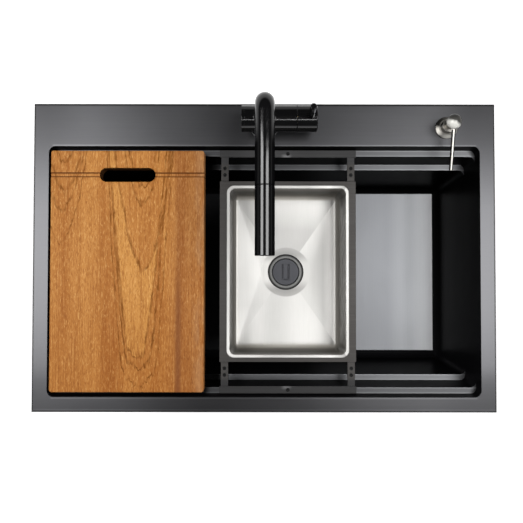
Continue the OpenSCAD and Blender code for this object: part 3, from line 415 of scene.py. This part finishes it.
def basin_walls(m, z, nx):
    """The basin's walls, with painted reflections that darken halfway up and grow paler again towards a
    painted highlight at the rim, and painted shade on the side walls below the rim.
    """
    stops = (
        (0.00, (0.46, 0.44, 0.40)),
        (0.08, (0.36, 0.34, 0.305)),
        (0.20, (0.24, 0.225, 0.195)),
        (0.36, (0.165, 0.153, 0.132)),
        (0.58, (0.12, 0.111, 0.095)),
        (0.75, (0.21, 0.196, 0.174)),
        (0.93, (0.31, 0.293, 0.264)),
        (0.99, (0.66, 0.65, 0.62)),
    )
    wall = m.add("ShaderNodeValToRGB", {0: m.fit(z, -0.112, -0.018)})
    ramp = wall.color_ramp.elements
    while len(ramp) < len(stops):
        ramp.new(0.5)
    for stop, (place, color) in zip(ramp, stops):
        stop.position = place
        stop.color = (*color, 1)
    # Painted shade on the side walls below the rim
    shaded_sides = m.times(m.fit(m.off(nx), 0.1, 0.45, 0, 0.55), m.fit(z, -0.021, -0.024))
    return m.scaled(wall.outputs[0], m.invert(shaded_sides))


def basin_rim(m, x, y, z):
    """How bright the basin's rim is: painted shade along its outer edge and at its right end."""
    low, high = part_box("basin_shell")
    half_x, half_y = (high.x - low.x) / 2, (high.y - low.y) / 2
    inset = m.math("MINIMUM", m.within(half_x, x, waste_middle.x), m.within(half_y, y, waste_middle.y))
    tone = m.times(m.fit(x, 0.11, 0.135, 1.0, 0.42), m.fit(inset, 0.0006, 0.0013, 0.3, 1))
    return m.blend(m.fit(z, -0.0215, -0.0205), 1.0, tone)


def basin_steel():
    """Brushed basin: four planes that fall to the waste, with painted light and shade, and walls painted
    darker with painted reflections, that end in a rim with a painted highlight.
    """
    m = Mat("basin_steel", metallic=1.0)
    x, y, z = m.axes()
    nx, _, nz = m.facing()
    lines = m.noise((700, 12, 700), detail=4, rough=0.7)
    tone = m.blend(0.5, lines, m.noise(9, rough=0.6))
    dx, dy, far = from_waste(m, x, y)
    dish = m.fit(far, 0.0432, 0.0450, 1, 0)
    flat = m.math("MAXIMUM", m.fit(nz, 0.975, 0.9985, smooth=True), m.fit(far, 0.0445, 0.0455, 1, 0))
    planes = m.scaled((1.0, 0.985, 0.95), basin_planes(m, dx, dy, far, dish))
    color = m.mix(flat, basin_walls(m, z, nx), planes)
    color = m.scaled(color, basin_rim(m, x, y, z))
    m.set("Base Color", m.scaled(color, m.sharp(tone, 0.96, 1.04)))
    m.set("Metallic", m.blend(flat, 0.08, 1.0))
    m.set("Specular IOR Level", 0.04)
    m.set("Roughness", m.blend(dish, m.soft(tone, 0.46, 0.38), 0.52))
    straight_up = m.add("ShaderNodeCombineXYZ", {"Z": 1.0}).outputs[0]
    m.bump(lines, 0.000006, 0.5, normal=m.mix(dish, m.rounded(0.001), straight_up))
    return m


# ---- Tap and soap pump ----

def tap_black():
    """Glossy black that is duller along the outlines of the bar and the spout, and at a seam."""
    m = Mat("tap_black", (0.0035, 0.0035, 0.0038))
    _, y, z = m.axes()
    smudge = m.noise((30, 60, 30))
    m.set("Roughness", m.fit(smudge, 0.35, 0.75, 0.08, 0.15))
    seam_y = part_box("spout_tube")[0].y    # where the spray head starts
    on_tube = m.outline(0.14, 0.34, 0.5, 0.0)
    on_bar = m.outline(0.12, 0.45, 0.9, 0.16)
    straight = m.fit(y, 0.19, 0.15, smooth=True)
    seam = m.fit(m.off(y, seam_y), 0.0006, 0.0014, 0.08, 1)
    glint = m.times(m.blend(straight, 0.5, on_tube), seam)
    m.set("Specular IOR Level", m.blend(m.fit(z, 0.080, 0.085, 1, 0), glint, on_bar))
    m.bump(m.noise(260, detail=1), 0.000003, 0.5, edge=0.0004)
    return m


def nickel():
    """Polished nickel with painted reflections: bright towards the bowl and dark behind, with a bright line
    along the nozzle.
    """
    m = Mat("nickel", metallic=1.0, Specular_Tint=(0.2, 0.2, 0.2, 1))
    _, y, z = m.axes()
    nx, ny, _ = m.facing()
    haze = m.noise(90, rough=0.6)
    ball = m.fit(z, 0.034, 0.038)
    nozzle = m.fit(y, 0.1990, 0.1975)

    # Painted reflections: the ball and the ring pale on the side towards the bowl and near black behind, the
    # ball darker towards its top at the back, and the nozzle bright along its top with dark sides
    turned = m.math("MULTIPLY_ADD", nx, 0.45, ny)
    behind_ring = m.fit(ny, -0.12, 0.22, smooth=True)
    behind_ball = m.fit(turned, -0.54, 0.0, smooth=True)
    behind = m.blend(ball, behind_ring, behind_ball)
    ball_back = m.mix(m.fit(ny, 0.2, 0.75), (0.075, 0.073, 0.068), (0.02, 0.02, 0.019))
    ball_color = m.mix(behind, (0.80, 0.79, 0.74), ball_back)
    ring_color = m.mix(behind, (0.50, 0.48, 0.44), (0.12, 0.115, 0.105))
    nozzle_side = m.fit(m.off(nx), 0.15, 0.55, smooth=True)
    nozzle_color = m.mix(nozzle_side, (0.74, 0.72, 0.67), (0.055, 0.053, 0.05))
    color = m.mix(nozzle, m.mix(ball, ring_color, ball_color), nozzle_color)
    m.set("Base Color", m.scaled(color, m.soft(haze, 0.94, 1.06)))

    only_ball = m.times(m.invert(nozzle), ball)
    m.set("Metallic", m.invert(m.times(only_ball, 0.75)))
    dark_side = m.blend(nozzle, behind, nozzle_side)
    m.set("Roughness", m.plus(m.fit(dark_side, 0, 1, 0.46, 0.22), m.soft(haze, 0.0, 0.05)))
    m.bump(haze, 0.000003, 0.5, edge=0.0003)
    return m


# ---- Plain metals and plastics ----

def plain_metal(name, dark, pale, rough, metallic=1.0, thread=0.0):
    """Bare or plated metal with a fine grain, or with rings where it has a thread of that pitch."""
    m = Mat(name, metallic=metallic)
    grain = m.noise(300)
    m.set("Base Color", m.mix(m.noise(25, detail=4, rough=0.6), dark, pale))
    m.set("Roughness", m.soft(grain, *rough))
    if thread:
        wave = m.math("SINE", m.times(m.axes()["Z"], 2 * math.pi / thread))
        m.bump(wave, thread / 3, 0.8)
    else:
        m.bump(grain, 0.00002, 0.4, edge=0.0003)
    return m


def plastic(name, dark, pale, rough, scale=900, depth=0.00001, **sockets):
    """Moulded plastic or rubber with a fine grain and slight unevenness."""
    m = Mat(name, **sockets)
    grain = m.noise(scale, detail=2)
    m.set("Base Color", m.mix(m.noise(18), dark, pale))
    m.set("Roughness", m.soft(grain, *rough))
    m.bump(grain, depth, 0.5, edge=0.0004)
    return m


def waste_ring():
    """The basin's waste, dark at its outer edge."""
    m = plain_metal("waste_ring", (0.10, 0.10, 0.098), (0.14, 0.14, 0.135), (0.36, 0.46), metallic=0.9)
    x, y, _ = m.axes()
    _, _, far = from_waste(m, x, y)
    color = m.shader.inputs["Base Color"].links[0].from_socket
    m.set("Base Color", m.scaled(color, m.fit(far, 0.0275, 0.0292, 1.0, 0.22)))
    return m


# ---- Chopping board ----

def growth_line(m, x, y, middle, tip, spread, reach, lean, thick):
    """A growth line that comes to a point at (middle, tip): how dark it is, and how far inside it is.

    Behind the tip each half widens to spread within about reach, and by lean more for each millimetre.
    """
    rise = m.math("MAXIMUM", m.math("SUBTRACT", y, tip), 0.0)
    fade = m.math("EXPONENT", m.math("DIVIDE", rise, -reach))
    half_width = m.math("MULTIPLY_ADD", m.invert(fade), spread, m.times(rise, lean))
    steepness = m.math("MULTIPLY_ADD", fade, spread / reach, 1 + lean)
    outside = m.math("SUBTRACT", m.off(x, middle), half_width)
    away = m.math("DIVIDE", m.off(outside), steepness)
    past_tip = m.fit(m.math("SUBTRACT", y, tip), -1.62, 0.81)
    dark = m.times(m.fit(away, thick / 4, thick, 1, 0), past_tip)
    return dark, m.times(m.fit(outside, 2.42, -2.42), past_tip)


def growth_figure(m, x, y):
    """How dark the board's growth lines are, and the pale tongue between two of them.

    Each line is written as its middle, tip, spread, reach, lean and thickness, in millimetres.
    """
    sway = m.fit(m.noise((30, 9, 30), detail=2), 0, 1, -6.46, 6.46)
    ragged = m.fit(m.noise((330, 90, 330), detail=2), 0, 1, -2.59, 2.59)
    jump = m.fit(m.noise((230, 60, 230), detail=2, move=(5, 0, 0)), 0.2, 0.8, 8.08, -8.08)
    across = m.plus(m.times(x, 1000), sway, ragged)
    along = m.plus(m.times(y, 1000), jump)
    tongue_back = (-195.8, -23.9, 22.6, 40.4, 0.12, 2.10)
    tongue_front = (-205.5, -162.9, 13.7, 6.46, 0.10, 1.94)
    others = (
        (-197.4, 111.8, 12.9, 19.4, 0.15, 1.45),
        (-197.4, 82.7, 14.5, 22.6, 0.15, 1.78),
        (-203.1, -180.6, 19.4, 9.7, 0.085, 1.78),
        (-202.3, -208.1, 27.5, 14.5, 0.07, 1.29),
        (-325.1, 152.2, 14.5, 16.2, 0.10, 1.78),
        (-323.5, 102.1, 19.4, 35.5, 0.10, 1.94),
        (-328.3, 71.4, 22.6, 38.8, 0.12, 1.78),
        (-329.9, 18.1, 29.1, 48.5, 0.08, 1.13),
    )
    back_line, in_back = growth_line(m, across, along, *tongue_back)
    front_line, in_front = growth_line(m, across, along, *tongue_front)
    lines = [growth_line(m, across, along, *line)[0] for line in others]
    strength = m.fit(m.noise((120, 50, 120), detail=2, move=(0, 4, 2)), 0.35, 0.62, 0.25, 1.0)
    dark = m.times(m.join("MAXIMUM", back_line, front_line, *lines), strength)
    return dark, m.times(in_front, m.invert(in_back))


def tinted(m, color, amount, filter_color):
    """A colour seen through a filter where amount is 1."""
    return m.mix(amount, color, m.mix(1.0, color, filter_color, "MULTIPLY"))


def teak():
    """A flat-sawn board, with growth lines that close in points towards the front."""
    m = Mat("teak", Specular_IOR_Level=0.08)
    x, y, _ = m.axes()
    dark_lines, tongue = growth_figure(m, x, y)
    streak = m.noise((420, 12, 420), detail=5, rough=0.65, distortion=0.4)
    fleck = m.noise((520, 120, 520), rough=0.65, distortion=0.8)
    pore = m.fit(m.noise((1300, 120, 1300), detail=1), 0.60, 0.74)
    band = m.noise((34, 2.2, 34), rough=0.6, move=(0.4, 0, 0))

    color = m.mix(m.fit(band, 0.34, 0.66), (0.360, 0.130, 0.0245), (0.480, 0.207, 0.049))
    layers = (
        (m.times(tongue, 0.5), (0.61, 0.30, 0.075)),
        (m.fit(streak, 0.48, 0.75, 0.0, 0.7), (0.24, 0.070, 0.013)),
        (m.fit(streak, 0.44, 0.24, 0.0, 0.5), (0.68, 0.37, 0.12)),
        (m.fit(fleck, 0.52, 0.68, 0.0, 0.65), (0.24, 0.075, 0.014)),
        (m.fit(fleck, 0.46, 0.32, 0.0, 0.45), (0.74, 0.42, 0.15)),
        (m.times(pore, 0.35), (0.15, 0.045, 0.010)),
        (m.times(dark_lines, 0.9), (0.165, 0.050, 0.002)),
    )
    for amount, layer in layers:
        color = m.mix(amount, color, layer)

    # Darker towards the front and the right end, which has a dark strip and a painted sheen of reflected
    # light
    color = tinted(m, color, m.fit(y, 0.0, -0.19, 0.0, 0.45, smooth=True), (0.74, 0.62, 0.46))
    color = tinted(m, color, m.fit(x, -0.165, -0.135, 0.0, 0.6, smooth=True), (0.74, 0.68, 0.78))
    strip_x = -0.139
    near_strip = m.fit(m.off(x, strip_x), 0.001, 0.008, 0.65, 0.0, smooth=True)
    strip = m.times(near_strip, m.fit(y, 0.02, -0.10, 0.15, 1.0, smooth=True))
    color = m.mix(strip, color, (0.16, 0.050, 0.016))
    # A painted sheen, broken up by noise
    sheen_breakup = m.fit(m.noise((90, 18, 90), move=(1, 2, 0)), 0.42, 0.6)
    sheen = m.times(m.fit(x, -0.120, -0.104, 0.0, 0.16, smooth=True), sheen_breakup)
    color = m.mix(sheen, color, (0.58, 0.40, 0.22))

    # Painted shade: a dark line along both edges of the groove, and the slot's walls dark inside
    groove_y, groove_half, slot_half = 0.1334, 0.0031, 0.05
    groove_shade = m.fit(m.off(m.off(y, groove_y), groove_half), 0.0005, 0.0014, 1.0, 0.0, smooth=True)
    color = m.mix(groove_shade, color, (0.11, 0.030, 0.002))
    shaded_slot_wall = m.times(
        m.fit(m.facing()["Z"], 0.3, 0.6, 1, 0),
        m.fit(m.off(x, board_middle.x), slot_half, slot_half + 0.01, 1, 0),
        m.fit(y, 0.10, 0.11),
        m.fit(y, 0.16, 0.165, 1, 0),
    )
    color = m.mix(m.times(shaded_slot_wall, 0.9), color, (0.035, 0.016, 0.008))

    m.set("Base Color", color)
    m.set("Roughness", m.soft(streak, 0.42, 0.56))
    m.bump(m.math("SUBTRACT", m.times(streak, -0.4), pore), 0.00005, 0.5, edge=0.0006)
    return m


# ---- Which look goes where ----

OWN_LOOKS = (black_steel, tray_steel, basin_steel, tap_black, nickel, waste_ring, teak)

METALS = {
    "bare_steel": dict(dark=(0.50, 0.50, 0.49), pale=(0.62, 0.62, 0.60), rough=(0.28, 0.38)),
    "zinc": dict(dark=(0.42, 0.43, 0.44), pale=(0.56, 0.57, 0.58), rough=(0.36, 0.48)),
    "brass": dict(dark=(0.62, 0.44, 0.18), pale=(0.74, 0.56, 0.26), rough=(0.26, 0.36), thread=0.0016),
    "plug_cap": dict(dark=(0.036, 0.037, 0.042), pale=(0.052, 0.053, 0.060), rough=(0.42, 0.5), metallic=0.6),
}

PLASTICS = {
    "rubber": dict(dark=(0.018, 0.018, 0.018), pale=(0.030, 0.030, 0.030), rough=(0.65, 0.8)),
    "pad_rubber": dict(
        dark=(0.12, 0.12, 0.125), pale=(0.18, 0.18, 0.185), rough=(0.75, 0.9), scale=350, depth=0.0002,
    ),
    "white_plastic": dict(dark=(0.72, 0.72, 0.70), pale=(0.80, 0.80, 0.78), rough=(0.38, 0.5)),
    "ivory_plastic": dict(dark=(0.66, 0.63, 0.52), pale=(0.74, 0.70, 0.60), rough=(0.38, 0.5)),
    "black_plastic": dict(dark=(0.022, 0.022, 0.024), pale=(0.034, 0.034, 0.036), rough=(0.45, 0.6)),
    "bottle_plastic": dict(dark=(0.70, 0.71, 0.70), pale=(0.78, 0.79, 0.77), rough=(0.3, 0.4)),
    "screw_black": dict(
        dark=(0.002, 0.002, 0.002), pale=(0.004, 0.004, 0.004), rough=(0.35, 0.5), Specular_IOR_Level=0.12,
    ),
}


def dress_frame():
    """Gives each CAD piece the look that the record names for it."""
    looks = {make.__name__: make() for make in OWN_LOOKS}
    looks.update({name: plain_metal(name, **values) for name, values in METALS.items()})
    looks.update({name: plastic(name, **values) for name, values in PLASTICS.items()})
    for part in frame["record"]["subparts"]:
        for slot in nodes[part["node"]].material_slots:
            slot.material = looks[part["material_slot"]].material


# ---- Stage and lights ----

def seen_directly(graph):
    """1 for what the camera, a mirror or clear glass sees, and 0 for light on its way."""
    rays = graph.add("ShaderNodeLightPath").outputs
    kinds = ("Is Camera Ray", "Is Glossy Ray", "Is Transmission Ray")
    return graph.join("MAXIMUM", *[rays[kind] for kind in kinds])


def make_floor(z):
    """A wide pale floor that glows where it is seen directly, more so further out."""
    half = 14.0
    corners = [(-half, -half, z), (half, -half, z), (half, half, z), (-half, half, z)]
    mesh = bpy.data.meshes.new("floor")
    mesh.from_pydata(corners, [], [(0, 1, 2, 3)])
    floor = bpy.data.objects.new("floor", mesh)
    scene.collection.objects.link(floor)
    m = Mat("floor", (0.86, 0.86, 0.86), Roughness=0.9)
    far = m.add("ShaderNodeVectorMath", {0: m.point}, operation="LENGTH").outputs["Value"]
    glow = m.add("ShaderNodeEmission", {"Strength": m.fit(far, 0.9, 3.0, 0.56, 0.92)})
    no_glow = m.add("ShaderNodeEmission", {"Strength": 0.0})
    shown = m.add("ShaderNodeMixShader", {0: seen_directly(m), 1: no_glow.outputs[0], 2: glow.outputs[0]})
    both = m.add("ShaderNodeAddShader", {0: m.shader.outputs[0], 1: shown.outputs[0]})
    m.put(m.tree.nodes["Material Output"].inputs[0], both.outputs[0])
    mesh.materials.append(m.material)


def make_world():
    """A pale surround that darkens overhead, as in a studio with a dark ceiling."""
    world = bpy.data.worlds.new("world")
    scene.world = world
    world.use_nodes = True
    graph = Graph(world.node_tree, "Generated")
    surround = graph.tree.nodes["Background"].inputs
    graph.put(surround["Color"], graph.fit(graph.axes()["Z"], 0.03, 0.32, 1.0, 0.035, smooth=True))
    graph.put(surround["Strength"], 1.0)


def soft_box(name, place, size, watts, target=(0, -0.02, 0)):
    """A rectangular light that points at the target."""
    data = bpy.data.lights.new(name, "AREA")
    data.shape = "RECTANGLE"
    data.size, data.size_y = size
    data.energy = watts
    light = bpy.data.objects.new(name, data)
    scene.collection.objects.link(light)
    light.location = place
    look = Vector(target) - Vector(place)
    light.rotation_euler = look.to_track_quat("-Z", "Y").to_euler()


make_camera()
dress_frame()
make_floor(cad_box[0][2])
make_world()
soft_box("box_left", (-0.88, 0.07, 1.5), (0.90, 0.80), 21)
soft_box("box_right", (0.72, 0.00, 1.5), (0.86, 0.80), 20)
soft_box("strip", (0.07, -0.37, 1.6), (0.34, 0.07), 0.65)
